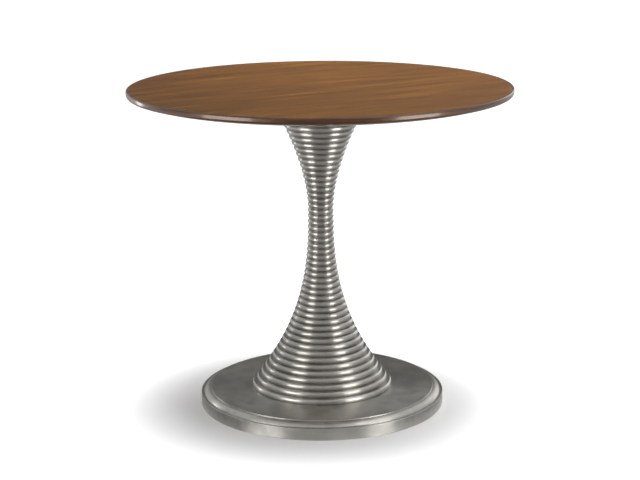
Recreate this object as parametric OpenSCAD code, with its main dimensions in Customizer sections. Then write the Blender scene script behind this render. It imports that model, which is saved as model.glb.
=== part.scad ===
// Round cafe table: a veneered wood top on an hourglass column of stacked metal rings.
// The origin is on the floor, under the centre of the base. Z points up.

/* [Table] */
// Height of the table, floor to top surface
table_h = 765; // [700:5:800]
// Diameter of the table top
top_d = 900; // [700:10:1000]

/* [Top] */
// Thickness of the whole top
top_t = 20; // [18:0.5:30]
// Thickness of each veneer sheet, over and under the core board
veneer_t = 1; // [0.6:0.1:2]
// Width of the solid wood edging, measured on the underside from the rim to the core board
edging_w = 40; // [32:1:60]
// Width of the edging that shows round the face veneer
edging_face_w = 6; // [4:0.5:12]
// Rounding of the upper rim
upper_rim_r = 2.5; // [1:0.5:4]
// Rounding of the lower rim
lower_rim_r = 7; // [3:0.5:8]
// Width of the sloping under-edge
bevel_w = 25; // [15:1:30]
// Angle of the sloping under-edge, from level
bevel_angle = 15; // [8:1:20]

/* [Column] */
// Outer radius of the steel tube inside the column
tube_r = 19; // [16:0.5:21]
// Wall of the steel tube
tube_wall = 3; // [2:0.5:4]
// Depth of the socket in the base that holds the tube
tube_socket = 16; // [10:1:20]
// Radius of the threaded tie rod
rod_r = 6; // [5:0.5:8]
// Radius of the mounting plate under the top
plate_r = 180; // [140:5:220]
// Thickness of the mounting plate
plate_t = 6.3; // [5:0.1:8]
// Height of the plate's boss that centres the tube
plate_boss_h = 8; // [4:1:14]

/* [Rings] */
// Number of rings in the column
ring_count = 51; // [45:1:58]
// Number of those rings below the waist
lower_ring_count = 32; // [26:1:38]
// Radius of the column at its waist
waist_r = 30.8; // [29:0.2:40]
// Radius of the lowest ring
foot_r = 168.5; // [130:0.5:190]
// Radius of the highest ring
head_r = 114; // [80:0.5:125]
// Power of the column's flare below the waist: more flares later
foot_flare_power = 2.6; // [1.8:0.1:3.2]
// Power of the column's flare above the waist: more flares later
head_flare_power = 1.7; // [1.3:0.1:2.4]
// How far each ring's rounded edge stands out
bead_depth = 4; // [2.5:0.1:5]
// Width of the flat face that two neighbouring rings share
bearing_w = 10; // [8:0.5:14]
// Smallest wall of the wooden cores that centre the wide rings
core_wall = 8; // [6:0.5:12]

/* [Base] */
// Radius of the base
base_r = 292; // [260:1:340]
// Height of the base
base_h = 40; // [38:0.5:50]
// Height of the upright band round the base
band_h = 28; // [24:0.5:30]
// Width of the level ledge above the band
ledge_w = 7.5; // [5:0.5:10]
// Radius of the rounded moulding above the ledge
moulding_r = 20; // [18:0.5:24]
// Width of the moulding, from the ledge to the disc
moulding_w = 16.5; // [14:0.5:18]
// Height of the small step round the disc
disc_step = 2; // [1.2:0.1:2.5]
// Rounding of the small edges of the base
base_edge_r = 0.8; // [0.4:0.1:1]
// Thickness of the base's casting under the disc
disc_t = 6; // [5:0.5:8]
// Wall of the base's casting behind the band
skirt_t = 10; // [8:0.5:14]
// How far the roof of the casting's cavity ends inside the disc's edge
cavity_inset = 2; // [1:0.5:4]
// Radius of the casting's centre boss
boss_r = 40; // [34:0.5:44]
// Height of the steel cover above the floor
cover_z = 3; // [2.6:0.1:4]
// Thickness of the steel cover
cover_t = 2; // [1.5:0.1:3]

/* [Levelling glides] */
// Distance of each glide from the rim of the base
glide_inset = 52; // [44:1:90]
// Radius of a glide's foot
glide_foot_r = 16; // [14:0.5:18]
// Height of a glide's foot
glide_foot_h = 6; // [5:0.5:8]
// Rounding of a foot's lower edge
glide_edge_r = 1.5; // [0.5:0.1:2]
// Depth of the stem's end inside the foot
glide_root = 4; // [2:0.5:4]
// Radius of a glide's threaded stem
glide_stem_r = 5; // [4:0.5:6]
// Length of the stem above the foot
glide_stem_len = 24; // [20:0.5:25]
// Wall of the casting round the stem
glide_boss_wall = 9; // [6:0.5:10]

/* [Fasteners] */
// Number of wood screws through the mounting plate
plate_screw_count = 8; // [4:1:12]
// Distance of the wood screws from the centre
plate_screw_place_r = 155; // [130:1:170]
// Radius of a wood screw's shank
plate_screw_r = 2.2; // [1.8:0.1:3]
// Length of a wood screw in the top
plate_screw_grip = 13; // [8:0.5:15]
// Number of screws through the steel cover
cover_screw_count = 4; // [3:1:6]
// Distance of the cover screws from the centre
cover_screw_place_r = 150; // [90:1:190]
// Radius of a cover screw's shank
cover_screw_r = 2.5; // [2:0.1:3]
// Length of a cover screw above the cover
cover_screw_grip = 12; // [8:0.5:18]
// Wall of the casting round a cover screw
cover_boss_wall = 5; // [3:0.5:8]
// How far a screw's head stands out round its shank
screw_head_rim = 2.4; // [1.6:0.1:3]
// Height of a screw's head
screw_head_h = 2.2; // [1.8:0.1:2.4]
// Radius of the hexagon socket in a screw's head
screw_key_r = 1.6; // [1.2:0.1:2]
// Depth of that socket
screw_key_depth = 1.2; // [0.8:0.1:1.4]
// Width of a tie nut across its flats
nut_flats = 19; // [18:0.5:24]
// Height of a tie nut
nut_h = 10; // [8:0.5:12]
// Radius of a tie washer
washer_r = 15; // [13:0.5:20]
// Thickness of a tie washer
washer_t = 2.5; // [2:0.1:3]
// How far the tie rod stands out of each nut
rod_end = 1; // [0.5:0.1:2]

/* [Fits] */
// Clearance round a part that is pushed or screwed home
fit_gap = 0.05; // [0.02:0.01:0.1]
// Clearance round a part that is slipped over another by hand
slip_gap = 0.3; // [0.2:0.05:0.5]
// Clearance round a part that drops into a pocket
free_gap = 1.5; // [0.5:0.1:2]
// Clearance round the upper tie nut, for a socket spanner
spanner_gap = 6; // [4:0.5:10]

/* [Hidden] */
$fn = 128;
metal = [0.53, 0.52, 0.49];
dark_steel = [0.16, 0.16, 0.17];
zinc = [0.70, 0.71, 0.72];
walnut = [0.45, 0.29, 0.16];
walnut_edge = [0.34, 0.21, 0.12];
plain_wood = [0.76, 0.62, 0.44];

// How far a cutter runs past what it cuts, and a boss into what it joins
over = 1;

// The top, from its underside to its face
top_r = top_d / 2;
top_z = table_h - top_t;
core_z = top_z + veneer_t;
face_z = table_h - veneer_t;
board_r = top_r - edging_w;
face_r = top_r - edging_face_w;

// The column stands on the disc of the base and carries the mounting plate
plate_z = top_z - plate_t;
pitch = (plate_z - base_h) / ring_count;
bead_r = (pow(pitch / 2, 2) + pow(bead_depth, 2)) / (2 * bead_depth);
waist_z = base_h + lower_ring_count * pitch;
first_z = base_h + pitch / 2;
last_z = plate_z - pitch / 2;
tube_z = base_h - tube_socket;
tube_bore = tube_r - tube_wall;

// The nut and washer of the tie rod, under the base and over the plate
cover_top = cover_z + cover_t;
rod_z = cover_top + slip_gap;
low_nut_z = rod_z + rod_end;
low_washer_z = low_nut_z + nut_h;
boss_z = low_washer_z + washer_t;
high_washer_z = top_z;
high_nut_z = high_washer_z + washer_t;
rod_top = high_nut_z + nut_h + rod_end;
nut_r = nut_flats / 2 / cos(30);
nut_pocket_r = max(nut_r, washer_r) + spanner_gap;
nut_pocket_h = rod_top + slip_gap - top_z;

// The base, from the floor up
band_in = base_r - ledge_w;
disc_r = band_in - moulding_w;
cavity_z = base_h - disc_t;
cavity_r = base_r - skirt_t;
cavity_top_r = disc_r - cavity_inset;
cavity_bend_z = band_h - skirt_t;
ballast_r = cavity_top_r - free_gap;
pocket_r = glide_foot_r + free_gap;
cover_boss_r = cover_screw_r + cover_boss_wall;

// The glides stand in bosses of the casting, one in each quarter
glide_count = 4;
glide_place_r = base_r - glide_inset;
glide_boss_z = glide_foot_h + slip_gap;
glide_angles = [for (i = [0:glide_count - 1]) 45 + i * 360 / glide_count];

// Height of the underside, middle and radius of ring k, counted from the floor up
function ring_z(k) = base_h + k * pitch;
function ring_mid(k) = ring_z(k) + pitch / 2;
function flare(far_r, far_z, z, power) = (far_r - waist_r) * pow((z - waist_z) / (far_z - waist_z), power);
function column_r(z) = waist_r + (z < waist_z
    ? flare(foot_r, first_z, z, foot_flare_power)
    : flare(head_r, last_z, z, head_flare_power));
function ring_r(k) = column_r(ring_mid(k));
function root_r(k) = ring_r(k) - bead_depth;

// A wide ring's bore leaves the bearing width on the smaller of its neighbours
function next_in(k) = min(root_r(max(k - 1, 0)), root_r(min(k + 1, ring_count - 1)));
function wide_bore(k) = next_in(k) - bearing_w;
function core_r(k) = wide_bore(k) - slip_gap;
function is_cored(k) = core_r(k) >= tube_r + core_wall;
function ring_bore(k) = is_cored(k) ? wide_bore(k) : tube_r + slip_gap;

// The rings that are centred by the lower core, and by the upper core
low_cored = [for (k = [0:ring_count - 1]) if (is_cored(k) && ring_mid(k) < waist_z) k];
high_cored = [for (k = [0:ring_count - 1]) if (is_cored(k) && ring_mid(k) >= waist_z) k];

// So many rings at each end of the column have a node of their own. The near-equal rings between them
// share two nodes, every second ring in each, so that none touches another of its node.
single_ring_count = 17;
first_waist_ring = single_ring_count;
last_waist_ring = ring_count - single_ring_count;
waist_rings_a_list = [for (k = [first_waist_ring:2:last_waist_ring]) k];
waist_rings_b_list = [for (k = [first_waist_ring + 1:2:last_waist_ring]) k];
single_ring_list = concat(
    [for (k = [0:first_waist_ring - 1]) k],
    [for (k = [last_waist_ring + 1:ring_count - 1]) k]);
function ring_name(k) = str("ring_", k < 9 ? "0" : "", k + 1);
function numbered(name) = [for (i = [1:glide_count]) str(name, "_", i)];

// Rounds the corner p of an outline. a and b are the angles of its two edges, leaving p.
module round_corner(p, a, b, r) {
    half = abs(b - a) / 2;
    middle = (a + b) / 2;
    run = r / tan(half);
    reach = r / sin(half);
    inward = [cos(middle), sin(middle)];
    t1 = p + run * [cos(a), sin(a)];
    t2 = p + run * [cos(b), sin(b)];
    c = p + reach * inward;
    difference() {
        children();
        difference() {
            polygon([t1, p - over * inward, t2, c]);
            translate(c) circle(r);
        }
    }
}

// Places a copy at each angle of a ring of places
module around(angles, r) {
    for (a = angles) rotate(a) translate([r, 0, 0]) children();
}

function evenly(count) = [for (i = [0:count - 1]) i * 360 / count];

// A round plate or a straight hole, from height z up
module disc(r, z, h) {
    translate([0, 0, z]) cylinder(r = r, h = h);
}

// A hole right through what stands between z and z + h
module hole(r, z, h) {
    disc(r, z - over, h + 2 * over);
}

// A blind hole of depth h, open above
module socket(r, z, h) {
    disc(r, z, h + over);
}

// A blind hole of depth h from height z up, open below
module pocket(r, z, h) {
    disc(r, z - over, h + over);
}

// A screw that points up: its head hangs under height z, and its shank stands over it
module screw(shank_r, z, length) {
    difference() {
        union() {
            disc(shank_r, z - screw_head_h / 2, length + screw_head_h / 2);
            disc(shank_r + screw_head_rim, z - screw_head_h, screw_head_h);
        }
        translate([0, 0, z - screw_head_h - over])
            cylinder(r = screw_key_r, h = screw_key_depth + over, $fn = 6);
    }
}

module face_veneer() {
    color(walnut) disc(face_r, face_z, veneer_t);
}

module core_board() {
    color(plain_wood) difference() {
        disc(board_r, core_z, face_z - core_z);
        pocket(nut_pocket_r, top_z, nut_pocket_h);
        around(evenly(plate_screw_count), plate_screw_place_r)
            pocket(plate_screw_r + fit_gap, top_z, plate_screw_grip + slip_gap);
    }
}

module edging() {
    bevel_rise = bevel_w * tan(bevel_angle);
    color(walnut_edge) rotate_extrude() {
        round_corner([top_r, table_h], 180, 270, upper_rim_r)
        round_corner([top_r, top_z + bevel_rise], 90, 180 + bevel_angle, lower_rim_r)
            polygon([
                [board_r, top_z],
                [top_r - bevel_w, top_z],
                [top_r, top_z + bevel_rise],
                [top_r, table_h],
                [face_r, table_h],
                [face_r, face_z],
                [board_r, face_z]]);
    }
}

module backing_veneer() {
    color(walnut_edge) difference() {
        disc(board_r, top_z, veneer_t);
        hole(nut_pocket_r, top_z, veneer_t);
        around(evenly(plate_screw_count), plate_screw_place_r)
            hole(plate_screw_r + fit_gap, top_z, veneer_t);
    }
}

module mounting_plate() {
    color(dark_steel) difference() {
        union() {
            disc(plate_r, plate_z, plate_t);
            disc(tube_bore - fit_gap, plate_z - plate_boss_h, plate_boss_h + over);
        }
        hole(rod_r + slip_gap, plate_z - plate_boss_h, plate_boss_h + plate_t);
        around(evenly(plate_screw_count), plate_screw_place_r)
            hole(plate_screw_r + slip_gap, plate_z, plate_t);
    }
}

module plate_screws() {
    color(zinc) around(evenly(plate_screw_count), plate_screw_place_r)
        screw(plate_screw_r, plate_z, plate_t + plate_screw_grip);
}

module column_tube() {
    color(dark_steel) difference() {
        disc(tube_r, tube_z, plate_z - tube_z);
        hole(tube_bore, tube_z, plate_z - tube_z);
    }
}

module tie_rod() {
    color(zinc) disc(rod_r, rod_z, rod_top - rod_z);
}

module tie_nuts() {
    color(zinc) for (z = [low_nut_z, high_nut_z]) difference() {
        translate([0, 0, z]) cylinder(r = nut_r, h = nut_h, $fn = 6);
        hole(rod_r + fit_gap, z, nut_h);
    }
}

module tie_washers() {
    color(zinc) for (z = [low_washer_z, high_washer_z]) difference() {
        disc(washer_r, z, washer_t);
        hole(rod_r + slip_gap, z, washer_t);
    }
}

// A ring is flat above and below, and its outer edge is an arc
module ring(k) {
    bore = ring_bore(k);
    arc_x = ring_r(k) - bead_r;
    color(metal) rotate_extrude() intersection() {
        translate([bore, ring_z(k)]) square([ring_r(k) - bore + over, pitch]);
        union() {
            translate([arc_x, ring_mid(k)]) circle(bead_r);
            translate([0, ring_z(k) - over]) square([arc_x, pitch + 2 * over]);
        }
    }
}

module rings(list) {
    for (k = list) ring(k);
}

// A core is turned in steps, one step for the bore of each ring it centres
module stepped_core(cored) {
    inner = tube_r + slip_gap;
    bottom = ring_z(cored[0]);
    top = ring_z(cored[len(cored) - 1] + 1);
    color(plain_wood) rotate_extrude() polygon(concat(
        [[inner, bottom]],
        [for (k = cored, z = [ring_z(k), ring_z(k + 1)]) [core_r(k), z]],
        [[inner, top]]));
}

module lower_core() {
    stepped_core(low_cored);
}

module upper_core() {
    stepped_core(high_cored);
}

// The outline of the base: band, ledge, rounded moulding, small step and disc
module base_outline() {
    step_z = base_h - disc_step;
    arc_c = [disc_r, step_z - moulding_r];
    round_corner([disc_r, base_h], 180, 270, base_edge_r)
    round_corner([base_r, band_h], 180, 270, base_edge_r)
    round_corner([base_r, 0], 90, 180, base_edge_r)
    union() {
        square([base_r, band_h]);
        square([disc_r, base_h]);
        intersection() {
            translate(arc_c) circle(moulding_r);
            square([band_in, base_h]);
        }
    }
}

module base_casting() {
    color(metal) difference() {
        union() {
            difference() {
                rotate_extrude() base_outline();
                rotate_extrude() polygon([
                    [0, -over],
                    [cavity_r, -over],
                    [cavity_r, cavity_bend_z],
                    [cavity_top_r, cavity_z],
                    [0, cavity_z]]);
            }
            disc(boss_r, boss_z, cavity_z - boss_z + over);
            around(glide_angles, glide_place_r)
                disc(glide_stem_r + glide_boss_wall, glide_boss_z, cavity_z - glide_boss_z + over);
            around(evenly(cover_screw_count), cover_screw_place_r)
                disc(cover_boss_r, cover_top, cavity_z - cover_top + over);
        }
        socket(tube_r + fit_gap, tube_z, tube_socket);
        hole(rod_r + slip_gap, boss_z, tube_z - boss_z);
        around(glide_angles, glide_place_r)
            pocket(glide_stem_r + fit_gap, glide_boss_z, glide_stem_len);
        around(evenly(cover_screw_count), cover_screw_place_r)
            pocket(cover_screw_r + fit_gap, cover_top, cover_screw_grip + slip_gap);
    }
}

module ballast() {
    color("gray") difference() {
        disc(ballast_r, cover_top, cavity_z - cover_top);
        hole(boss_r + slip_gap, cover_top, cavity_z - cover_top);
        around(glide_angles, glide_place_r) hole(pocket_r, cover_top, cavity_z - cover_top);
        around(evenly(cover_screw_count), cover_screw_place_r)
            hole(cover_boss_r + slip_gap, cover_top, cavity_z - cover_top);
    }
}

module base_cover() {
    color(dark_steel) difference() {
        disc(cavity_r - slip_gap, cover_z, cover_t);
        around(glide_angles, glide_place_r) hole(pocket_r, cover_z, cover_t);
        around(evenly(cover_screw_count), cover_screw_place_r)
            hole(cover_screw_r + slip_gap, cover_z, cover_t);
    }
}

module cover_screws() {
    color(zinc) around(evenly(cover_screw_count), cover_screw_place_r)
        screw(cover_screw_r, cover_z, cover_t + cover_screw_grip);
}

module glide_stem(i) {
    color(zinc) around([glide_angles[i]], glide_place_r)
        disc(glide_stem_r, glide_foot_h - glide_root, glide_root + glide_stem_len);
}

module glide_foot(i) {
    color("dimgray") around([glide_angles[i]], glide_place_r) difference() {
        rotate_extrude()
            round_corner([glide_foot_r, 0], 90, 180, glide_edge_r)
            square([glide_foot_r, glide_foot_h]);
        socket(glide_stem_r + fit_gap, glide_foot_h - glide_root, glide_root);
    }
}

face_veneer();
core_board();
edging();
backing_veneer();
mounting_plate();
plate_screws();
column_tube();
tie_rod();
tie_nuts();
tie_washers();
upper_core();
lower_core();
base_casting();
ballast();
base_cover();
cover_screws();
rings(waist_rings_a_list);  // waist_rings_a
rings(waist_rings_b_list);  // waist_rings_b
for (i = [0:glide_count - 1]) {
    glide_stem(i);
    glide_foot(i);
}
for (k = single_ring_list) {
    ring(k);
}
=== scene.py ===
"""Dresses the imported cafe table: a veneered wood top, a column of turned rings, a cast base and a studio."""

import math

import bpy
from bpy.props import FloatProperty, FloatVectorProperty, IntProperty, PointerProperty
from mathutils import Matrix, Vector


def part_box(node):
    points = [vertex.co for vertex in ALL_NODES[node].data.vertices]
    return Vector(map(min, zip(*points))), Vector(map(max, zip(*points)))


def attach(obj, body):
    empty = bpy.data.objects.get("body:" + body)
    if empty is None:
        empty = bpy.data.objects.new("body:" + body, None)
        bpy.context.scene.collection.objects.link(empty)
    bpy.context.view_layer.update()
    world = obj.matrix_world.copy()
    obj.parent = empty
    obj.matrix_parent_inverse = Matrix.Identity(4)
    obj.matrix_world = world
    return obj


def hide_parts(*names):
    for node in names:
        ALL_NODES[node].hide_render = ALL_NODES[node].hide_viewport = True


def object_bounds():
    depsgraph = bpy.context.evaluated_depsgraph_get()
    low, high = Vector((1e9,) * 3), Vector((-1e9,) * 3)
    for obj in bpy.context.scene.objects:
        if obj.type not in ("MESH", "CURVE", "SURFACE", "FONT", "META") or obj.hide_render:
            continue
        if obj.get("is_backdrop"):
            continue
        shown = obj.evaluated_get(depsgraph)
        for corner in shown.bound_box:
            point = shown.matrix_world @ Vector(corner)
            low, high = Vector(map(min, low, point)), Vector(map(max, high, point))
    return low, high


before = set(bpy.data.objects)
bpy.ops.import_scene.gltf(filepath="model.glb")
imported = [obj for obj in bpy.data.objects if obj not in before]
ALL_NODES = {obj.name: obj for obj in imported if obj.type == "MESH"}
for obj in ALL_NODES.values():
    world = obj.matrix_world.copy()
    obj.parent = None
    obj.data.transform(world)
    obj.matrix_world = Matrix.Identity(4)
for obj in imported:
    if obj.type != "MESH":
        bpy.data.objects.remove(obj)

bl_info = {
    "name": "Cafe table",
    "version": (1, 0, 0),
    "blender": (4, 5, 0),
    "location": "3D View > Sidebar > Cafe table",
    "description": "Models and finishes a round cafe table on a column of turned rings",
    "category": "Add Mesh",
}

MERGE_DISTANCE = 1e-5
LEAST_RADIUS = 1e-4
STARTER_WIDTH = 0.001
FULL_TURN = 2 * math.pi
GLIDES = range(1, 5)


# Settings that a user would change

def number(name, description, default):
    return IntProperty(name=name, description=description, default=default, min=1)


def length(name, description, default):
    return FloatProperty(name=name, description=description, default=default, min=0, precision=4,
                         unit="LENGTH")


def angle(name, description, degrees):
    return FloatProperty(name=name, description=description, default=math.radians(degrees), subtype="ANGLE")


def share(name, description, default):
    return FloatProperty(name=name, description=description, default=default, min=0, max=1, subtype="FACTOR")


def amount(name, description, default):
    return FloatProperty(name=name, description=description, default=default, min=0)


def colour(name, description, default):
    return FloatVectorProperty(name=name, description=description, default=default, min=0, max=1,
                               subtype="COLOR")


class CafeTableSizes(bpy.types.PropertyGroup):
    """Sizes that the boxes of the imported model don't give"""

    steps_round: number("Steps round", "Steps of a turned piece round its axis", 192)
    base_steps_round: number("Base steps round", "Steps of the base round its axis", 256)
    small_steps_round: number("Small steps round", "Steps of a small round part", 24)
    arc_step: angle("Arc step", "Largest step along an arc of an outline", 8)
    smooth_angle: angle("Smooth angle", "Edges flatter than this are shaded smooth", 32)
    veneer_easing: length("Veneer easing", "Easing of the veneer's edge, which leaves a hairline", 0.0003)
    edging_width: length("Edging width", "Width of the edging on the underside", 0.040)
    edging_face: length("Edging face", "Width of the edging round the face veneer", 0.006)
    upper_rim: length("Upper rim", "Rounding of the upper rim", 0.0025)
    lower_rim: length("Lower rim", "Rounding of the lower rim", 0.007)
    under_edge: length("Under-edge", "Width of the sloping under-edge", 0.025)
    under_angle: angle("Under-edge angle", "Angle of the sloping under-edge, from level", 15)
    under_round: length("Under-edge rounding", "Rounding where the under-edge starts", 0.002)
    bead_depth: length("Bead depth", "How far each ring's rounded edge stands out", 0.004)
    band_height: length("Band", "Height of the upright band round the base", 0.028)
    ledge: length("Ledge", "Width of the level ledge above the band", 0.0075)
    moulding_width: length("Moulding width", "Width of the moulding, from the ledge to the disc", 0.0165)
    moulding_round: length("Moulding", "Radius of the rounded moulding", 0.020)
    disc_step: length("Disc step", "Height of the small step round the disc", 0.002)
    edge_round: length("Edge rounding", "Rounding of the small metal edges", 0.0008)
    casting_wall: length("Casting wall", "Wall of the casting behind the band", 0.010)
    casting_roof: length("Casting roof", "Thickness of the casting under the disc", 0.006)
    roof_inset: length("Roof inset", "How far inside the disc's edge the cavity's roof ends", 0.002)
    centre_boss: length("Centre boss", "Radius of the casting's boss round the tie rod", 0.040)
    glide_boss_wall: length("Glide boss wall", "Wall of the casting round a glide's stem", 0.009)
    screw_boss_wall: length("Screw boss wall", "Wall of the casting round a cover screw", 0.005)
    plate_easing: length("Plate easing", "Rounding of the edges of the steel plates", 0.0006)
    plate_screws: number("Plate screws", "Screws through the mounting plate", 8)
    cover_screws: number("Cover screws", "Screws through the steel cover", 4)
    screw_rounding: length("Screw rounding", "Rounding of a screw's head", 0.0014)
    key_radius: length("Key radius", "Radius of the hexagon socket in a screw's head", 0.0016)
    key_depth: length("Key depth", "Depth of that socket", 0.0012)
    foot_rounding: length("Foot rounding", "Rounding of a glide foot's lower edge", 0.0015)
    foot_dish: length("Foot dish", "Depth of the dish under a glide foot", 0.0005)
    foot_shoulder: length("Foot shoulder", "Height of a glide foot's sloping shoulder", 0.0018)
    foot_slope: length("Foot slope", "Width of that shoulder", 0.0027)
    foot_easing: length("Foot easing", "Rounding of that shoulder's edges", 0.0006)
    pocket_gap: length("Pocket gap", "Gap round a glide's foot in the steel cover", 0.0015)
    thread_pitch: length("Thread pitch", "Pitch of the glides' thread", 0.0015)
    thread_depth: length("Thread depth", "Depth of the glides' thread", 0.0007)
    nut_and_washer: length("Nut and washer", "Height of a tie nut with its washer", 0.0125)
    fit_gap: length("Fit gap", "Gap round a part that is pushed or screwed home", 0.00005)
    slip_gap: length("Slip gap", "Gap round a part that is slipped over another", 0.0003)


class CafeTableFinishes(bpy.types.PropertyGroup):
    """Colours and gloss of the finishes"""

    veneer_light: colour("Veneer, light", "Light streaks of the face veneer", (0.250, 0.104, 0.017))
    veneer_mid: colour("Veneer", "Ground of the face veneer", (0.140, 0.055, 0.009))
    veneer_dark: colour("Veneer, dark", "Dark streaks of the face veneer", (0.084, 0.033, 0.006))
    edging_light: colour("Edging, light", "Light streaks of the edging", (0.080, 0.026, 0.008))
    edging_dark: colour("Edging, dark", "Dark streaks of the edging", (0.018, 0.007, 0.003))
    pewter: colour("Pewter", "Metal of the rings and the base", (0.500, 0.488, 0.455))
    pewter_dark: colour("Pewter, dark", "Dull patches of that metal", (0.390, 0.380, 0.350))
    powder_black: colour("Powder coat", "Coat of the steel plates", (0.022, 0.022, 0.023))
    ring_roughness: share("Ring roughness", "Roughness of the rings", 0.33)
    base_roughness: share("Base roughness", "Roughness of the base", 0.37)
    grain_angle: angle("Grain angle", "Direction of the veneer's grain, from the X axis", 31)
    brushing: share("Brushing", "How much the brushed metal draws out a reflection across its lines", 0.8)


class CafeTableStudio(bpy.types.PropertyGroup):
    """The camera, the floor, the cards and the lamp"""

    camera_distance: length("Camera distance", "Level distance from the column to the camera", 3.85)
    camera_height: length("Camera height", "Height of the camera above the floor", 1.339)
    camera_pitch: angle("Camera pitch", "How far the camera looks down", 13.75)
    camera_yaw: angle("Camera yaw", "How far the camera looks to the left", 0.035)
    camera_roll: angle("Camera roll", "How far the camera leans to the left", -0.40)
    focal_length: FloatProperty(name="Focal length", description="Focal length in mm", default=93.7)
    sensor_width: FloatProperty(name="Sensor width", description="Width of the sensor in mm", default=36)
    floor_size: length("Floor size", "Width of the floor", 60)
    floor_colour: colour("Floor", "Colour of the floor", (0.8, 0.8, 0.8))
    # The floor glows less near the table than far from it: painted shade round the base
    near_lift_painted_shade: amount("Floor lift", "What the floor near the table adds to its brightness in view", 0.04)
    far_lift: amount("Far lift", "What the floor far from the table adds to its brightness in view", 0.72)
    lift_start: length("Lift start", "Distance where the far lift starts", 0.30)
    lift_end: length("Lift end", "Distance where the far lift is full", 0.56)
    sky_level: amount("Sky", "Light from all round", 0.45)
    table_middle: length("Table middle", "Height of the lamp's aim and of the cards' zero rise", 0.40)
    card_distance: length("Card distance", "Distance from the column to the far cards", 6)
    card_steps: number("Card steps", "Steps of a card round the table", 16)
    box_distance: length("Box distance", "Distance to the near soft boxes", 2)
    box_top: length("Box top", "Top of the near soft boxes, just under the table's", 0.76)
    flag_height: length("Flag height", "Height of the grey sectors over the floor", 0.002)
    flag_start: length("Flag start", "Distance where the near sectors start", 0.31)
    flag_split: length("Flag split", "Distance where the far sectors start", 1.0)
    flag_end: length("Flag end", "Distance where the far sectors end", 5.9)
    lamp_right: length("Lamp, right", "How far the lamp hangs to the right of the column", 0.45)
    lamp_back: length("Lamp, back", "How far the lamp hangs behind the column", 0.90)
    lamp_height: length("Lamp height", "Height of the lamp above the floor", 2.20)
    lamp_size: length("Lamp size", "Width of the square lamp", 1.30)
    lamp_watts: amount("Lamp power", "Power of the lamp in watts", 37)


def sizes():
    return bpy.context.scene.cafe_table_sizes


def finishes():
    return bpy.context.scene.cafe_table_finishes


def studio():
    return bpy.context.scene.cafe_table_studio


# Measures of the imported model

def reach(node, low=-math.inf, high=math.inf):
    """Least and greatest distance from the Z axis of a node's vertices between two heights"""
    corners = [vertex.co for vertex in ALL_NODES[node].data.vertices if low <= vertex.co.z <= high]
    distances = [corner.xy.length for corner in corners]
    return min(distances), max(distances)


def heights(node):
    low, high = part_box(node)
    return low.z, high.z


def centre(node):
    """The middle of a node's box, on the floor"""
    low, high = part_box(node)
    return Vector(((low.x + high.x) / 2, (low.y + high.y) / 2, 0))


def half_width(node):
    low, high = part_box(node)
    return (high.x - low.x) / 2


def screw_sizes(node, seat):
    """Radius of the heads and of the shanks of a ring of screws, whose heads hang under the seat"""
    place = sum(reach(node)) / 2
    tip = heights(node)[1]
    return reach(node)[1] - place, reach(node, (seat + tip) / 2)[1] - place


def screw_places(node, count):
    place = sum(reach(node)) / 2
    turns = [Matrix.Rotation(FULL_TURN * i / count, 3, "Z") for i in range(count)]
    return [turn @ Vector((place, 0, 0)) for turn in turns]


# Modelling: outlines drawn in the XZ plane, stroke by stroke, and spun round the Z axis

def line_to(x, z):
    return "line", Vector((x, z)), 0.0


def arc_about(x, z, turn):
    return "arc", Vector((x, z)), turn


def rounded(*corners):
    """Strokes of an outline with sharp corners (x, z) and rounded ones (x, z, radius)"""
    strokes = []
    for i, corner in enumerate(corners):
        here = Vector(corner[:2])
        if len(corner) < 3:
            strokes.append(line_to(*here))
            continue
        back = (Vector(corners[i - 1][:2]) - here).normalized()
        ahead = (Vector(corners[(i + 1) % len(corners)][:2]) - here).normalized()
        half = back.angle(ahead) / 2
        middle = here + (back + ahead).normalized() * (corner[2] / math.sin(half))
        left_turn = ahead.x * back.y - ahead.y * back.x
        strokes.append(line_to(*(here + back * (corner[2] / math.tan(half)))))
        strokes.append(arc_about(*middle, math.copysign(math.pi - 2 * half, left_turn)))
    return strokes


def deselect():
    bpy.ops.object.select_all(action="DESELECT")


def select_only(piece):
    deselect()
    piece.select_set(True)
    bpy.context.view_layer.objects.active = piece


def started(name, place):
    """A new piece that is one point, in edit mode: a small plane, merged"""
    deselect()
    bpy.ops.mesh.primitive_plane_add(size=STARTER_WIDTH, location=place)
    bpy.ops.object.transform_apply()
    piece = bpy.context.object
    piece.name = piece.data.name = name
    bpy.ops.object.mode_set(mode="EDIT")
    bpy.ops.mesh.select_all(action="SELECT")
    bpy.ops.mesh.merge(type="CENTER")
    return piece


def draw(name, strokes, closed=True):
    """Starts a piece and draws its outline, in edit mode"""
    here = strokes[0][1]
    piece = started(name, (here.x, 0, here.y))
    for kind, point, turn in strokes[1:] + (strokes[:1] if closed else []):
        if kind == "line":
            step = point - here
            bpy.ops.mesh.extrude_region_move(TRANSFORM_OT_translate={"value": (step.x, 0, step.y)})
            here = point
        else:
            steps = max(2, math.ceil(abs(turn) / sizes().arc_step))
            bpy.ops.mesh.spin(steps=steps, angle=turn, center=(point.x, 0, point.y), axis=(0, 1, 0))
            here = point + Matrix.Rotation(turn, 2) @ (here - point)
    return piece


def close_up():
    """Merges seams and poles, turns the faces outwards and leaves edit mode"""
    bpy.ops.mesh.select_all(action="SELECT")
    bpy.ops.mesh.remove_doubles(threshold=MERGE_DISTANCE)
    bpy.ops.mesh.normals_make_consistent(inside=False)
    bpy.ops.object.mode_set(mode="OBJECT")


def turned(name, strokes, steps=None):
    """A piece of revolution round the Z axis"""
    piece = draw(name, strokes)
    bpy.ops.mesh.select_all(action="SELECT")
    bpy.ops.mesh.spin(steps=steps or sizes().steps_round, angle=FULL_TURN, center=(0, 0, 0), axis=(0, 0, 1))
    close_up()
    return piece


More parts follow.
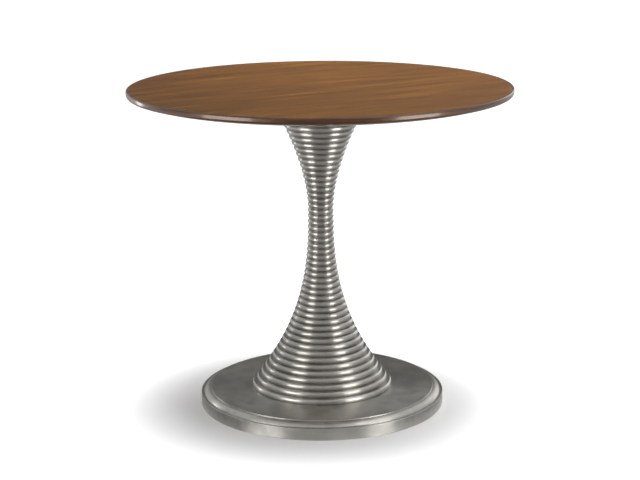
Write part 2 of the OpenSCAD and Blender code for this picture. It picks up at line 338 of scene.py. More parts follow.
def joined(name, pieces):
    """Joins pieces, as they are, into one object"""
    deselect()
    for piece in pieces:
        piece.select_set(True)
    bpy.context.view_layer.objects.active = pieces[0]
    if len(pieces) > 1:
        bpy.ops.object.join()
    pieces[0].name = pieces[0].data.name = name
    return pieces[0]


def moved_to(piece, place):
    select_only(piece)
    piece.location = place
    bpy.ops.object.transform_apply()
    return piece


def copied(piece, place):
    """A copy with its own mesh, set at a place"""
    select_only(piece)
    bpy.ops.object.duplicate()
    return moved_to(bpy.context.object, place)


def modify(piece, kind, **settings):
    """Adds a modifier with its settings and applies it"""
    select_only(piece)
    bpy.ops.object.modifier_add(type=kind)
    modifier = piece.modifiers[-1]
    for setting, value in settings.items():
        setattr(modifier, setting, value)
    bpy.ops.object.modifier_apply(modifier=modifier.name)


def combine(piece, other, operation):
    """Adds another piece's shape to a piece, or takes it out of it, and removes the other one"""
    modify(piece, "BOOLEAN", operation=operation, solver="EXACT", object=other)
    bpy.data.objects.remove(other)


def rod(place, radius, low, high, sides=None):
    """A plain rod, to cut a hole or a socket with"""
    deselect()
    middle = Vector((place.x, place.y, (low + high) / 2))
    bpy.ops.mesh.primitive_cylinder_add(
        vertices=sides or sizes().small_steps_round * 2, radius=radius, depth=high - low, location=middle)
    bpy.ops.object.transform_apply()
    return bpy.context.object


def screw_set(name, node, seat, count):
    """Screws that point up: one is turned, gets its hexagon socket and is copied to every place"""
    given = sizes()
    low, tip = heights(node)
    head, shank = screw_sizes(node, seat)
    point = 2 * shank
    screw = turned("screw", rounded(
        (0, low), (head, low, given.screw_rounding), (head, seat), (shank, seat), (shank, tip - point),
        (0, tip)), steps=given.small_steps_round)
    key = rod(Vector((0, 0, 0)), given.key_radius, low - given.key_depth, low + given.key_depth, sides=6)
    combine(screw, key, "DIFFERENCE")
    copies = [copied(screw, place) for place in screw_places(node, count)]
    bpy.data.objects.remove(screw)
    return joined(name, copies)


def dress(piece, material, slot, *nodes, body="table"):
    """Smooths a finished piece, gives it its material and puts it in the place of its nodes"""
    select_only(piece)
    bpy.ops.object.shade_smooth_by_angle(angle=sizes().smooth_angle)
    modify(piece, "WEIGHTED_NORMAL", keep_sharp=True)
    piece.data.materials.clear()
    piece.data.materials.append(material)
    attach(piece, body)
    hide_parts(*nodes)


# Materials

class Nodes:
    """A node tree in the making: its methods add nodes and join them up"""

    def __init__(self, tree):
        self.tree = tree

    def add(self, kind, **settings):
        node = self.tree.nodes.new(kind)
        for setting, value in settings.items():
            setattr(node, setting, value)
        return node

    def feed(self, socket, value):
        if isinstance(value, bpy.types.NodeSocket):
            self.tree.links.new(value, socket)
        else:
            socket.default_value = value

    def maths(self, operation, *values):
        node = self.add("ShaderNodeMath", operation=operation)
        for socket, value in zip(node.inputs, values):
            self.feed(socket, value)
        return node.outputs["Value"]

    def split(self, vector):
        node = self.add("ShaderNodeSeparateXYZ")
        self.feed(node.inputs["Vector"], vector)
        return node.outputs

    def total(self, *pairs):
        """The products of pairs of values, added up"""
        first, *others = [self.maths("MULTIPLY", *pair) for pair in pairs]
        for other in others:
            first = self.maths("ADD", first, other)
        return first

    def moved(self, vector, turn=0.0, scale=(1, 1, 1)):
        node = self.add("ShaderNodeMapping")
        self.feed(node.inputs["Vector"], vector)
        node.inputs["Rotation"].default_value = (0, 0, turn)
        node.inputs["Scale"].default_value = scale
        return node.outputs["Vector"]

    def noise(self, vector, scale=1.0, detail=2.0, roughness=0.5, distortion=0.0):
        node = self.add("ShaderNodeTexNoise", noise_dimensions="3D")
        self.feed(node.inputs["Vector"], vector)
        for socket, value in (("Scale", scale), ("Detail", detail), ("Roughness", roughness)):
            self.feed(node.inputs[socket], value)
        node.inputs["Distortion"].default_value = distortion
        return node.outputs["Fac"]

    def spread(self, value, low, high, to_low=0.0, to_high=1.0):
        """Maps low..high to to_low..to_high, with soft ends"""
        node = self.add("ShaderNodeMapRange", interpolation_type="SMOOTHSTEP")
        for socket, given in zip(node.inputs, (value, low, high, to_low, to_high)):
            self.feed(socket, given)
        return node.outputs["Result"]

    def mixed(self, factor, first, second, blend="MIX"):
        node = self.add("ShaderNodeMix", data_type="RGBA", blend_type=blend)
        self.feed(node.inputs["Factor"], factor)
        colours = [socket for socket in node.inputs if socket.type == "RGBA"]
        for socket, value in zip(colours, (first, second)):
            self.feed(socket, value if isinstance(value, bpy.types.NodeSocket) else (*value, 1))
        return next(socket for socket in node.outputs if socket.type == "RGBA")

    def in_view(self):
        """1 for rays that the camera sees, straight, mirrored or through glass, and 0 for all others"""
        rays = self.add("ShaderNodeLightPath").outputs
        seen = self.maths("MAXIMUM", rays["Is Camera Ray"], rays["Is Glossy Ray"])
        return self.maths("MAXIMUM", seen, rays["Is Transmission Ray"])


class Finish(Nodes):
    """A material in the making, with a shader whose sockets are set by name"""

    def __init__(self, name, **sockets):
        self.material = bpy.data.materials.new(name)
        self.material.use_nodes = True
        super().__init__(self.material.node_tree)
        self.shader = self.tree.nodes["Principled BSDF"]
        self.place = self.add("ShaderNodeTexCoord").outputs["Object"]
        for socket, value in sockets.items():
            self.shader.inputs[socket.replace("_", " ")].default_value = value

    def round_place(self, around, outwards, upwards):
        """A place that runs round the Z axis with no seam: so fine around, outwards and upwards"""
        x, y, z = self.split(self.place)
        radius = self.maths("MAXIMUM", self.maths("SQRT", self.total((x, x), (y, y))), LEAST_RADIUS)
        along = self.total((radius, outwards), (z, upwards))
        joined_up = self.add("ShaderNodeCombineXYZ")
        for socket, part in zip(joined_up.inputs, (x, y)):
            self.feed(socket, self.maths("MULTIPLY", self.maths("DIVIDE", part, radius), around))
        self.feed(joined_up.inputs["Z"], along)
        return joined_up.outputs["Vector"]

    def raised(self, height, distance):
        """A fine relief: where the height is 1, it stands so far above where it is 0"""
        node = self.add("ShaderNodeBump")
        node.inputs["Distance"].default_value = distance
        self.feed(node.inputs["Height"], height)
        return node.outputs["Normal"]

    def finish(self, colour=None, roughness=None, normal=None):
        for socket, value in (("Base Color", colour), ("Roughness", roughness), ("Normal", normal)):
            if value is not None:
                self.feed(self.shader.inputs[socket], value)
        return self.material


def face_veneer_finish():
    """Walnut veneer under satin lacquer, with painted shade that darkens it to the left: figure, streaks and
    pores along a wavy grain
    """
    given = finishes()
    made = Finish("face_veneer", Specular_IOR_Level=0.30)
    lie = made.moved(made.place, turn=-given.grain_angle)
    sway = made.noise(made.moved(lie, scale=(1.6, 5.0, 1)), detail=2)
    along, across, _ = made.split(lie)
    wander = made.add("ShaderNodeCombineXYZ")
    made.feed(wander.inputs["X"], along)
    made.feed(wander.inputs["Y"], made.maths("ADD", across, made.maths("MULTIPLY", sway, 0.05)))
    grain = wander.outputs["Vector"]
    figure = made.noise(made.moved(grain, scale=(1.5, 17, 1)), detail=3, roughness=0.58, distortion=0.25)
    streaks = made.noise(made.moved(grain, scale=(4.5, 105, 1)), detail=3, roughness=0.6)
    lines = made.noise(made.moved(grain, scale=(10, 300, 1)), detail=4, roughness=0.62)
    fibres = made.noise(made.moved(grain, scale=(40, 900, 1)), detail=3, roughness=0.6)
    pores = made.noise(made.moved(grain, scale=(110, 1700, 1)), detail=1)
    pore = made.spread(pores, 0.62, 0.72)
    tone = made.total((figure, 0.30), (streaks, 0.50), (lines, 0.20))
    # Painted shade: the left of the top is made darker, along a wavy edge, to stand in for less light there
    cloud = made.noise(made.moved(lie, scale=(2.2, 7, 1)), detail=2)
    left_painted_shade = made.maths("ADD", made.split(made.place)["X"], made.maths("MULTIPLY", cloud, 0.25))
    tone = made.maths("ADD", tone, made.spread(left_painted_shade, -0.42, 0.10, -0.095, 0.0))
    wood = made.mixed(made.spread(tone, 0.38, 0.50), given.veneer_dark, given.veneer_mid)
    wood = made.mixed(made.spread(tone, 0.50, 0.62), wood, given.veneer_light)
    dashes = made.noise(made.moved(grain, scale=(3.2, 120, 1)), detail=2)
    bright = [1.2 * part for part in given.veneer_light]
    wood = made.mixed(made.spread(dashes, 0.54, 0.66, 0.0, 0.60), wood, bright)
    shades = made.noise(made.moved(grain, scale=(2.4, 85, 1)), detail=2)
    wood = made.mixed(made.spread(shades, 0.54, 0.68, 0.0, 0.45), wood, given.veneer_dark)
    fibre_level = made.spread(fibres, 0.3, 0.7, 0.86, 1.12)
    grey = made.add("ShaderNodeCombineColor")
    for socket in grey.inputs[:3]:
        made.feed(socket, fibre_level)
    wood = made.mixed(1.0, wood, grey.outputs["Color"], blend="MULTIPLY")
    wood = made.mixed(made.maths("MULTIPLY", pore, 0.5), wood, given.veneer_dark)
    roughness = made.spread(fibres, 0.25, 0.75, 0.36, 0.46)
    normal = made.raised(made.maths("SUBTRACT", made.maths("MULTIPLY", fibres, 0.3), pore), 0.00006)
    return made.finish(wood, roughness, normal)


def edging_finish():
    """Solid walnut bent round the top, dark, under a glossier lacquer, with its grain along the rim"""
    given = finishes()
    made = Finish("edging", Specular_IOR_Level=0.6, Specular_Tint=(1.0, 0.66, 0.42, 1),
                  Coat_Weight=0.6, Coat_Roughness=0.12)
    rim = made.round_place(around=5, outwards=420, upwards=420)
    streaks = made.noise(rim, detail=4, roughness=0.6)
    fibres = made.noise(made.round_place(around=28, outwards=2200, upwards=2200), detail=2)
    wood = made.mixed(made.spread(streaks, 0.32, 0.68), given.edging_dark, given.edging_light)
    wood = made.mixed(made.spread(fibres, 0.62, 0.75, 0.0, 0.5), wood, given.edging_dark)
    roughness = made.spread(streaks, 0.3, 0.7, 0.30, 0.40)
    return made.finish(wood, roughness, made.raised(fibres, 0.00003))


def plain_wood_finish(name, light, dark, turn=0.0, roughness=0.6, speck=0.0):
    """Wood with straight grain, for the backing veneer and the parts inside"""
    made = Finish(name)
    lie = made.moved(made.place, turn=turn)
    figure = made.noise(made.moved(lie, scale=(4, 60, 60)), detail=4, roughness=0.6, distortion=0.4)
    fibres = made.noise(made.moved(lie, scale=(45, 1000, 1000)), detail=3)
    wood = made.mixed(made.spread(figure, 0.32, 0.68), dark, light)
    wood = made.mixed(made.spread(fibres, 0.58, 0.74, 0.0, 0.45), wood, dark)
    if speck:
        chips = made.noise(made.place, scale=420, detail=1)
        wood = made.mixed(made.spread(chips, 0.60, 0.66, 0.0, speck), wood, dark)
    dulled = made.spread(fibres, 0.3, 0.7, roughness - 0.06, roughness + 0.06)
    return made.finish(wood, dulled, made.raised(fibres, 0.00005))


def pewter_finish(name, roughness):
    """Warm grey metal, brushed in rings on the lathe: dull patches, fine lines and a dull sparkle"""
    given = finishes()
    made = Finish(name, Metallic=1.0, Anisotropic=given.brushing, Anisotropic_Rotation=0.25)
    tangent = made.add("ShaderNodeTangent", direction_type="RADIAL", axis="Z")
    made.feed(made.shader.inputs["Tangent"], tangent.outputs["Tangent"])
    lines = made.noise(made.round_place(around=9, outwards=1500, upwards=1500), detail=3)
    patches = made.noise(made.place, scale=26, detail=4, roughness=0.6)
    sparkle = made.noise(made.place, scale=900, detail=2, roughness=0.7)
    metal = made.mixed(made.spread(patches, 0.35, 0.62, 0.25, 1.0), given.pewter_dark, given.pewter)
    metal = made.mixed(made.spread(lines, 0.40, 0.75, 0.0, 0.35), metal, given.pewter_dark)
    metal = made.mixed(made.spread(sparkle, 0.45, 0.70, 0.0, 0.45), metal, given.pewter_dark)
    dulled = made.maths("ADD", made.spread(lines, 0.3, 0.7, -0.04, 0.05),
                        made.spread(patches, 0.3, 0.7, -0.02, 0.04))
    relief = made.maths("ADD", lines, made.maths("MULTIPLY", sparkle, 0.6))
    return made.finish(metal, made.maths("ADD", dulled, roughness), made.raised(relief, 0.00002))


def powder_coat_finish():
    """Satin black powder coat with its fine orange peel"""
    if "powder_coat" in bpy.data.materials:
        return bpy.data.materials["powder_coat"]
    made = Finish("powder_coat", Specular_IOR_Level=0.45)
    peel = made.noise(made.place, scale=520, detail=2)
    dust = made.noise(made.place, scale=30, detail=4, roughness=0.6)
    black = finishes().powder_black
    dusty = [0.06 + 1.4 * part for part in black]
    coat = made.mixed(made.spread(dust, 0.45, 0.8, 0.0, 0.4), black, dusty)
    return made.finish(coat, made.spread(dust, 0.3, 0.7, 0.42, 0.55), made.raised(peel, 0.00008))


def plated_finish(name, light, dark, roughness):
    """Plated or drawn steel: a cloudy tone and fine drawing lines"""
    made = Finish(name, Metallic=1.0)
    cloud = made.noise(made.place, scale=140, detail=4, roughness=0.6)
    lines = made.noise(made.round_place(around=30, outwards=900, upwards=30), detail=2)
    metal = made.mixed(made.spread(cloud, 0.35, 0.65), dark, light)
    dulled = made.spread(lines, 0.3, 0.7, roughness - 0.06, roughness + 0.08)
    return made.finish(metal, dulled, made.raised(lines, 0.00001))


def zinc_finish():
    """Bright zinc plating, a little cloudy"""
    if "zinc_plating" in bpy.data.materials:
        return bpy.data.materials["zinc_plating"]
    return plated_finish("zinc_plating", (0.66, 0.67, 0.68), (0.50, 0.51, 0.53), 0.32)


def concrete_finish():
    """Cast concrete with sand, air holes with painted shade in them, and a cloudy tone"""
    made = Finish("concrete", Specular_IOR_Level=0.3)
    cloud = made.noise(made.place, scale=18, detail=5, roughness=0.6)
    sand = made.noise(made.place, scale=700, detail=2)
    holes = made.add("ShaderNodeTexVoronoi", feature="F1")
    made.feed(holes.inputs["Vector"], made.place)
    holes.inputs["Scale"].default_value = 160
    hole = made.spread(holes.outputs["Distance"], 0.08, 0.16, 1.0, 0.0)
    stone = made.mixed(made.spread(cloud, 0.3, 0.7), (0.30, 0.295, 0.28), (0.44, 0.43, 0.41))
    stone = made.mixed(made.spread(sand, 0.5, 0.75, 0.0, 0.5), stone, (0.22, 0.21, 0.20))
    # Painted shade: the air holes are coloured near-black, besides being sunk by the relief below
    stone = made.mixed(hole, stone, (0.10, 0.10, 0.10))
    return made.finish(stone, 0.9, made.raised(made.maths("SUBTRACT", sand, hole), 0.0003))


def nylon_finish():
    """Black moulded nylon, finely grained and a little scuffed"""
    if "nylon" in bpy.data.materials:
        return bpy.data.materials["nylon"]
    made = Finish("nylon", Specular_IOR_Level=0.4)
    grain = made.noise(made.place, scale=1400, detail=1)
    scuff = made.noise(made.moved(made.place, scale=(90, 900, 90)), detail=3)
    tone = made.mixed(made.spread(scuff, 0.55, 0.75, 0.0, 0.6), (0.030, 0.030, 0.031), (0.085, 0.084, 0.082))
    return made.finish(tone, made.spread(scuff, 0.3, 0.7, 0.45, 0.6), made.raised(grain, 0.00005))


# Operators: one for each piece or group of like pieces

class CAFE_TABLE_OT_face_veneer(bpy.types.Operator):
    """Turns the sheet of face veneer"""

    bl_idname = "cafe_table.face_veneer"
    bl_label = "Face veneer"

    def execute(self, context):
        low, high = heights("face_veneer")
        radius = reach("face_veneer")[1]
        ease = sizes().veneer_easing
        piece = turned("veneer_sheet", rounded(
            (0, low), (radius, low), (radius, high - ease), (radius - ease, high), (0, high)))
        dress(piece, face_veneer_finish(), "face_veneer", "face_veneer")
        return {"FINISHED"}


class CAFE_TABLE_OT_edging(bpy.types.Operator):
    """Turns the solid wood edging of the top"""

    bl_idname = "cafe_table.edging"
    bl_label = "Edging"

    def execute(self, context):
        given = sizes()
        low, high = heights("edging")
        seat = heights("face_veneer")[0]
        radius = reach("edging")[1]
        inner, face = radius - given.edging_width, radius - given.edging_face
        rise = given.under_edge * math.tan(given.under_angle)
        ease = given.veneer_easing
        piece = turned("rim_edging", rounded(
            (inner, low), (radius - given.under_edge, low, given.under_round),
            (radius, low + rise, given.lower_rim), (radius, high, given.upper_rim),
            (face + ease, high), (face, high - ease), (face, seat), (inner, seat)))
        dress(piece, edging_finish(), "edging", "edging")
        return {"FINISHED"}


class CAFE_TABLE_OT_rings(bpy.types.Operator):
    """Turns every ring of the column to the size of its node"""

    bl_idname = "cafe_table.rings"
    bl_label = "Column rings"

    def execute(self, context):
        metal = pewter_finish("ring_pewter", finishes().ring_roughness)
        low, high = heights("ring_01")
        pitch = high - low
        for node in sorted(name for name in ALL_NODES if "ring_" in name or "rings_" in name):
            low, high = heights(node)
            bottoms = [low + i * pitch for i in range(0, round((high - low) / pitch), 2)]
            rings = [self.ring(node, bottom, pitch) for bottom in bottoms]
            dress(joined("turned_" + node, rings), metal, "pewter_rings", node)
        return {"FINISHED"}

    def ring(self, node, bottom, pitch):
        """A ring is flat above and below, and its outer edge is one arc"""
        margin = pitch / 8
        bore, radius = reach(node, bottom - margin, bottom + pitch + margin)
        half, depth = pitch / 2, sizes().bead_depth
        bead = (half * half + depth * depth) / (2 * depth)
        turn = 2 * math.asin(half / bead)
        return turned("ring", [line_to(bore, bottom), line_to(radius - depth, bottom),
                               arc_about(radius - bead, bottom + half, turn), line_to(bore, bottom + pitch)])


class CAFE_TABLE_OT_base(bpy.types.Operator):
    """Turns the base casting and adds the bosses under its roof"""

    bl_idname = "cafe_table.base"
    bl_label = "Base casting"

    def execute(self, context):
        casting = turned("turned_casting", self.outline(), steps=sizes().base_steps_round)
        for cup in self.bosses():
            combine(casting, cup, "UNION")
        metal = pewter_finish("base_pewter", finishes().base_roughness)
        dress(casting, metal, "pewter_base", "base_casting")
        return {"FINISHED"}

    def outline(self):
        """Up the band, over ledge, moulding and disc, down the tube's socket and back under the roof"""
        given = sizes()
        top = heights("base_casting")[1]
        radius = reach("base_casting")[1]
        ledge_in = radius - given.ledge
        disc = ledge_in - given.moulding_width
        step = top - given.disc_step
        middle = step - given.moulding_round
        lean = math.acos(given.moulding_width / given.moulding_round)
        foot = middle + given.moulding_round * math.sin(lean)
        socket_low = heights("column_tube")[0]
        tube = reach("column_tube")[1] + given.fit_gap
        boss_low = heights("tie_nuts")[0] + given.nut_and_washer
        bore = reach("tie_rod")[1] + given.slip_gap
        roof = top - given.casting_roof
        skirt = radius - given.casting_wall
        strokes = rounded(
            (radius, 0, given.edge_round), (radius, given.band_height, given.edge_round),
            (ledge_in, given.band_height), (ledge_in, foot), (disc, step), (disc, top, given.edge_round),
            (tube, top), (tube, socket_low), (bore, socket_low), (bore, boss_low),
            (given.centre_boss, boss_low), (given.centre_boss, roof), (disc - given.roof_inset, roof),
            (skirt, given.band_height - given.casting_wall), (skirt, 0))
        # The stroke from the ledge to the step is the moulding's arc
        to_step = next(i for i, stroke in enumerate(strokes) if stroke[1] == Vector((disc, step)))
        strokes[to_step] = arc_about(disc, middle, math.pi / 2 - lean)
        return strokes

    def bosses(self):
        """The bosses of the glides' stems and of the cover's screws, each a cup that hangs from the roof"""
        given = sizes()
        roof = heights("base_casting")[1] - given.casting_roof
        into_roof = roof + given.casting_roof / 2
        for i in GLIDES:
            node = "glide_stem_%d" % i
            stem = half_width(node) + given.fit_gap
            low = heights("glide_foot_%d" % i)[1] + given.slip_gap
            yield self.boss(centre(node), stem, stem + given.glide_boss_wall, low,
                            heights(node)[1] + given.slip_gap, into_roof)
        low, high = heights("base_cover")[1], heights("cover_screws")[1]
        shank = screw_sizes("cover_screws", low)[1] + given.fit_gap
        for place in screw_places("cover_screws", given.cover_screws):
            yield self.boss(place, shank, shank + given.screw_boss_wall, low,
                            high + given.slip_gap, into_roof)

    def boss(self, place, bore, radius, low, bore_top, high):
        outline = rounded((bore, low), (radius, low), (radius, high), (0, high), (0, bore_top),
                          (bore, bore_top))
        cup = turned("boss", outline, steps=sizes().small_steps_round)
        return moved_to(cup, place)


class CAFE_TABLE_OT_mounting_plate(bpy.types.Operator):
    """Turns the steel plate that joins the column to the top, with its screw holes, and makes its screws"""

    bl_idname = "cafe_table.mounting_plate"
    bl_label = "Mounting plate"

    def execute(self, context):
        given = sizes()
        low, high = heights("mounting_plate")
        seat = heights("column_tube")[1]
        boss = reach("mounting_plate", high=(low + seat) / 2)[1]
        bore, radius = reach("mounting_plate")
        ease = given.plate_easing
        piece = turned("steel_mounting_plate", rounded(
            (bore, low), (boss, low, ease), (boss, seat), (radius, seat, ease), (radius, high, ease),
            (bore, high)))
        shank = screw_sizes("plate_screws", seat)[1]
        for place in screw_places("plate_screws", given.plate_screws):
            combine(piece, rod(place, shank + given.slip_gap, seat - ease, high + ease), "DIFFERENCE")
        dress(piece, powder_coat_finish(), "black_steel", "mounting_plate")
        screws = screw_set("wood_screws", "plate_screws", seat, given.plate_screws)
        dress(screws, zinc_finish(), "zinc_steel", "plate_screws")
        return {"FINISHED"}


class CAFE_TABLE_OT_base_cover(bpy.types.Operator):
    """Turns the steel cover of the base, cuts the glides' pockets and screw holes, and makes its screws"""

    bl_idname = "cafe_table.base_cover"
    bl_label = "Steel cover"

    def execute(self, context):
        given = sizes()
        low, high = heights("base_cover")
        radius = reach("base_cover")[1]
        ease = (high - low) / 4
        piece = turned("steel_base_cover", rounded(
            (0, low), (radius, low, ease), (radius, high, ease), (0, high)))
        for i in GLIDES:
            node = "glide_foot_%d" % i
            pocket = half_width(node) + given.pocket_gap
            combine(piece, rod(centre(node), pocket, low - ease, high + ease), "DIFFERENCE")
        shank = screw_sizes("cover_screws", low)[1]
        for place in screw_places("cover_screws", given.cover_screws):
            combine(piece, rod(place, shank + given.slip_gap, low - ease, high + ease), "DIFFERENCE")
        dress(piece, powder_coat_finish(), "black_steel", "base_cover")
        screws = screw_set("cover_cap_screws", "cover_screws", low, given.cover_screws)
        dress(screws, zinc_finish(), "zinc_steel", "cover_screws")
        return {"FINISHED"}


class CAFE_TABLE_OT_glides(bpy.types.Operator):
    """Makes one levelling glide, a moulded foot on a threaded stem, and copies it to its four places"""

    bl_idname = "cafe_table.glides"
    bl_label = "Levelling glides"

    def execute(self, context):
        foot, stem = self.foot(), self.stem()
        for i in GLIDES:
            body = "glide_%d" % i
            place = centre("glide_foot_%d" % i)
            for part, node, finish, slot in ((foot, "glide_foot_%d", nylon_finish(), "glide_plastic"),
                                             (stem, "glide_stem_%d", zinc_finish(), "zinc_steel")):
                copy = copied(part, place)
                copy.name = copy.data.name = "made_" + node % i
                dress(copy, finish, slot, node % i, body=body)
        for part in (foot, stem):
            bpy.data.objects.remove(part)
        return {"FINISHED"}

    def foot(self):
        """Flat below round a shallow dish, rounded at its lower edge and sloping at its shoulder"""
        given = sizes()
        low, high = heights("glide_foot_1")
        radius = half_width("glide_foot_1")
        seat = heights("glide_stem_1")[0]
        bore = half_width("glide_stem_1") + given.fit_gap
        dish = given.foot_dish
        return turned("foot", rounded(
            (0, low + dish), (radius / 2, low + dish), (radius / 2 + dish, low, dish),
            (radius, low, given.foot_rounding), (radius, high - given.foot_shoulder, given.foot_easing),
            (radius - given.foot_slope, high, given.foot_easing), (bore, high), (bore, seat), (0, seat)),
            steps=given.small_steps_round * 2)

    def stem(self):
        """The thread is one ridge, screwed up the stem by a screw modifier and closed at both ends"""
        given = sizes()
        low, high = heights("glide_stem_1")
        radius = half_width("glide_stem_1")
        core = radius - given.thread_depth
        turns = math.floor((high - low) / given.thread_pitch) - 1
        pitch = (high - low) / (turns + 1)
        flank = 0.45 * pitch
        stem = draw("stem", rounded(
            (core, low), (radius, low + flank), (radius, low + pitch - flank), (core, low + pitch)),
            closed=False)
        bpy.ops.object.mode_set(mode="OBJECT")
        steps = given.small_steps_round
        modify(stem, "SCREW", steps=steps, render_steps=steps, screw_offset=pitch, iterations=turns,
               use_merge_vertices=True, merge_threshold=MERGE_DISTANCE)
        bpy.ops.object.mode_set(mode="EDIT")
        bpy.ops.mesh.select_all(action="SELECT")
        bpy.ops.mesh.remove_doubles(threshold=MERGE_DISTANCE)
        bpy.ops.mesh.fill_holes(sides=0)
        close_up()
        return stem


class CAFE_TABLE_OT_inner_parts(bpy.types.Operator):
    """Gives the parts that lie inside the table their finishes"""

    bl_idname = "cafe_table.inner_parts"
    bl_label = "Inner parts"

    def execute(self, context):
        raw = plain_wood_finish("raw_board", (0.50, 0.36, 0.21), (0.34, 0.23, 0.13), speck=0.8)
        backing = plain_wood_finish("backing", (0.155, 0.070, 0.026), (0.075, 0.032, 0.012),
                                    turn=-finishes().grain_angle, roughness=0.5)
        core = plain_wood_finish("turned_core", (0.56, 0.41, 0.24), (0.42, 0.29, 0.16))
        drawn = plated_finish("drawn_steel", (0.38, 0.38, 0.38), (0.22, 0.22, 0.22), 0.38)
        for material, *nodes in (
                (raw, "core_board"), (backing, "backing_veneer"), (core, "upper_core", "lower_core"),
                (drawn, "column_tube"), (zinc_finish(), "tie_rod", "tie_nuts", "tie_washers"),
                (concrete_finish(), "ballast")):
            for node in nodes:
                for slot in ALL_NODES[node].material_slots:
                    slot.material = material
        return {"FINISHED"}


class CAFE_TABLE_OT_studio(bpy.types.Operator):
    """Sets up the camera, the floor, the sky, the cards and the lamp"""

    bl_idname = "cafe_table.studio"
    bl_label = "Studio"

    def execute(self, context):
        self.camera()
        self.floor()
        self.sky()
        self.cards()
        self.lamp()
        context.scene.view_settings.view_transform = "Standard"
        return {"FINISHED"}

    def camera(self):
        given = studio()
        deselect()
        bpy.ops.object.camera_add(location=(0, -given.camera_distance, given.camera_height))
        camera = bpy.context.object
        turn = Matrix.Rotation(given.camera_yaw, 3, "Z")
        tilt = Matrix.Rotation(math.pi / 2 - given.camera_pitch, 3, "X")
        roll = Matrix.Rotation(given.camera_roll, 3, "Z")
        camera.rotation_euler = (turn @ tilt @ roll).to_euler()
        camera.data.lens = given.focal_length
        camera.data.sensor_width = given.sensor_width
        bpy.context.scene.camera = camera

    def floor(self):
        """A pale floor that is white to the camera where nothing shades it away from the table, with painted
        shade round the base, and open when seen from below
        """
        given = studio()
        deselect()
        bpy.ops.mesh.primitive_plane_add(size=given.floor_size)
        floor = bpy.context.object
        floor.name = "floor"
        made = Finish("floor", Base_Color=(*given.floor_colour, 1), Roughness=0.9, Specular_IOR_Level=0.0)
        mottle = made.noise(made.place, scale=3, detail=3)
        grey = [0.985 * part for part in given.floor_colour]
        made.finish(made.mixed(mottle, given.floor_colour, grey))
        # The glow that whitens the floor is weaker near the table, which paints shade round the base on top of
        # its cast shadow
        lift = made.add("ShaderNodeEmission")
        away = made.add("ShaderNodeVectorMath", operation="LENGTH")
        made.feed(away.inputs[0], made.place)
        level = made.spread(away.outputs["Value"], given.lift_start, given.lift_end,
                            given.near_lift_painted_shade, given.far_lift)
        made.feed(lift.inputs["Strength"], made.maths("MULTIPLY", made.in_view(), level))
        both = made.add("ShaderNodeAddShader")
        made.feed(both.inputs[0], made.shader.outputs[0])
        made.feed(both.inputs[1], lift.outputs[0])
        open_below = made.add("ShaderNodeMixShader")
        made.feed(open_below.inputs[0], made.add("ShaderNodeNewGeometry").outputs["Backfacing"])
        made.feed(open_below.inputs[1], both.outputs[0])
        made.feed(open_below.inputs[2], made.add("ShaderNodeBsdfTransparent").outputs[0])
        made.feed(made.tree.nodes["Material Output"].inputs["Surface"], open_below.outputs[0])
        floor.data.materials.append(made.material)
        # Soft light passes the floor, so that the underside of the table isn't black
        floor.visible_diffuse = False
        floor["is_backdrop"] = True

    def sky(self):
        """White to the camera and in reflections, and plain soft light from all round"""
        world = bpy.data.worlds.new("sky")
        bpy.context.scene.world = world
        world.use_nodes = True
        world.cycles.sampling_method = "NONE"
        made = Nodes(world.node_tree)
        background = made.tree.nodes["Background"]
        background.inputs["Color"].default_value = (1, 1, 1, 1)
        level = made.spread(made.in_view(), 0.0, 1.0, studio().sky_level, 1.0)
        made.feed(background.inputs["Strength"], level)

    def cards(self):
        """Cards far round the table, low soft boxes nearer to it and grey sectors on the floor, which glow
        only in reflections as a painted reflection of the floor's light and shade

        Each has its middle and half width in degrees, from the front to the right, and its brightness.
        A far card's edges are degrees of rise, and a soft box's lower edge is a height. The soft boxes
        end just under the height of the top, so that its face mirrors none of them.
        """
        given = studio()
        for name, middle, half, low, high, bright in (
                ("front_card", 3.5, 33.5, -4, 16, 0.75),
                ("front_high_card", 5, 69, 16, 32, 0.02),
                ("left_card", -97, 34, -4, 32, 0.55),
                ("right_card", 102, 28, -4, 32, 0.66),
                ("left_high_card", -98, 38, 32, 60, 0.62),
                ("right_high_box", 75, 35, 50, 74, 2.8),
                ("left_back_card", -145, 14, -4, 32, 0.7),
                ("right_back_card", 145, 15, -4, 32, 1.5),
                ("low_back_card", 180, 20, -4, 16, 0.25),
                ("high_back_card", 180, 20, 16, 56, 0.04)):
            start, end = ((given.card_distance, self.raised_by(rise)) for rise in (low, high))
            self.swept(name, middle, half, start, end, bright)
        for name, middle, half, low, bright in (
                ("left_box", -49, 14, 0.0, 6.8),
                ("right_box", 52, 12.5, 0.0, 7.8),
                ("far_left_box", -119, 4, 0.3, 6.5)):
            start, end = (given.box_distance, low), (given.box_distance, given.box_top)
            self.swept(name, middle, half, start, end, bright)
        start, split, end = ((radius, given.flag_height)
                             for radius in (given.flag_start, given.flag_split, given.flag_end))
        # The grey sectors light nothing and show only in reflections: a painted reflection of the floor,
        # darker where it lies in shade, as on the left near the table
        for name, middle, half, near, far in (
                ("front_flag", 4, 30, 0.42, 0.30),
                ("left_flag", -68, 42, 0.16, 0.90),
                ("right_flag", 72, 38, 0.30, 0.80),
                ("back_flag", 180, 70, 0.30, 0.50)):
            self.swept(name + "_near", middle, half, start, split, near, lights=False)
            self.swept(name + "_far", middle, half, split, end, far, lights=False)

    def raised_by(self, rise):
        """Height at the far cards of a line that rises by so many degrees from the table's middle"""
        given = studio()
        return given.table_middle + given.card_distance * math.tan(math.radians(rise))

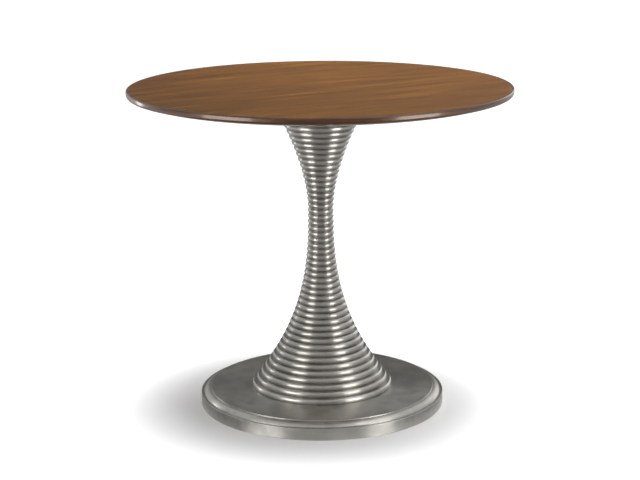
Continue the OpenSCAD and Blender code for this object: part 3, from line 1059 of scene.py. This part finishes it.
    def swept(self, name, middle, half, start, end, bright, lights=True):
        """An edge between two places, each a radius and a height, spun about the table"""
        right_end = math.radians(middle + half) - math.pi / 2
        first, last = (Vector((radius * math.cos(right_end), radius * math.sin(right_end), height))
                       for radius, height in (start, end))
        card = started(name, first)
        bpy.ops.mesh.extrude_region_move(TRANSFORM_OT_translate={"value": last - first})
        bpy.ops.mesh.select_all(action="SELECT")
        bpy.ops.mesh.spin(steps=studio().card_steps, angle=math.radians(2 * half), center=(0, 0, 0),
                          axis=(0, 0, 1))
        bpy.ops.object.mode_set(mode="OBJECT")
        card.data.materials.append(self.shine(name, bright))
        card.visible_camera = card.visible_shadow = False
        card.visible_diffuse = lights
        card.visible_transmission = card.visible_volume_scatter = False
        card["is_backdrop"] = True

    def shine(self, name, bright):
        material = bpy.data.materials.new(name)
        material.use_nodes = True
        made = Nodes(material.node_tree)
        emission = made.add("ShaderNodeEmission")
        emission.inputs["Strength"].default_value = bright
        made.feed(made.tree.nodes["Material Output"].inputs["Surface"], emission.outputs[0])
        return material

    def lamp(self):
        """A large soft box overhead, to the right of the table and a little behind it"""
        given = studio()
        place = Vector((given.lamp_right, given.lamp_back, given.lamp_height))
        aim = Vector((0, 0, given.table_middle)) - place
        deselect()
        bpy.ops.object.light_add(type="AREA", location=place)
        lamp = bpy.context.object
        lamp.name = "overhead_box"
        lamp.rotation_euler = aim.to_track_quat("-Z", "Y").to_euler()
        lamp.data.shape = "SQUARE"
        lamp.data.size = given.lamp_size
        lamp.data.energy = given.lamp_watts
        lamp.visible_camera = lamp.visible_glossy = False


OPERATORS = (
    CAFE_TABLE_OT_studio,
    CAFE_TABLE_OT_face_veneer,
    CAFE_TABLE_OT_edging,
    CAFE_TABLE_OT_rings,
    CAFE_TABLE_OT_base,
    CAFE_TABLE_OT_mounting_plate,
    CAFE_TABLE_OT_base_cover,
    CAFE_TABLE_OT_glides,
    CAFE_TABLE_OT_inner_parts,
)


class CAFE_TABLE_PT_panel(bpy.types.Panel):
    """Lists the operators that make the table, in their order"""

    bl_label = "Cafe table"
    bl_space_type = "VIEW_3D"
    bl_region_type = "UI"
    bl_category = "Cafe table"

    def draw(self, context):
        for operator in OPERATORS:
            self.layout.operator(operator.bl_idname)


GROUPS = (
    ("cafe_table_sizes", CafeTableSizes),
    ("cafe_table_finishes", CafeTableFinishes),
    ("cafe_table_studio", CafeTableStudio),
)


def register():
    for name, group in GROUPS:
        bpy.utils.register_class(group)
        setattr(bpy.types.Scene, name, PointerProperty(type=group))
    for shown in (*OPERATORS, CAFE_TABLE_PT_panel):
        bpy.utils.register_class(shown)


def unregister():
    for shown in (CAFE_TABLE_PT_panel, *reversed(OPERATORS)):
        bpy.utils.unregister_class(shown)
    for name, group in reversed(GROUPS):
        delattr(bpy.types.Scene, name)
        bpy.utils.unregister_class(group)


def run(operator):
    group, name = operator.bl_idname.split(".")
    getattr(getattr(bpy.ops, group), name)()


def corners():
    return [list(corner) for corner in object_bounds()]


def main():
    register()
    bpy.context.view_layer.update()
    for operator in OPERATORS:
        run(operator)


if __name__ == "__main__":
    main()
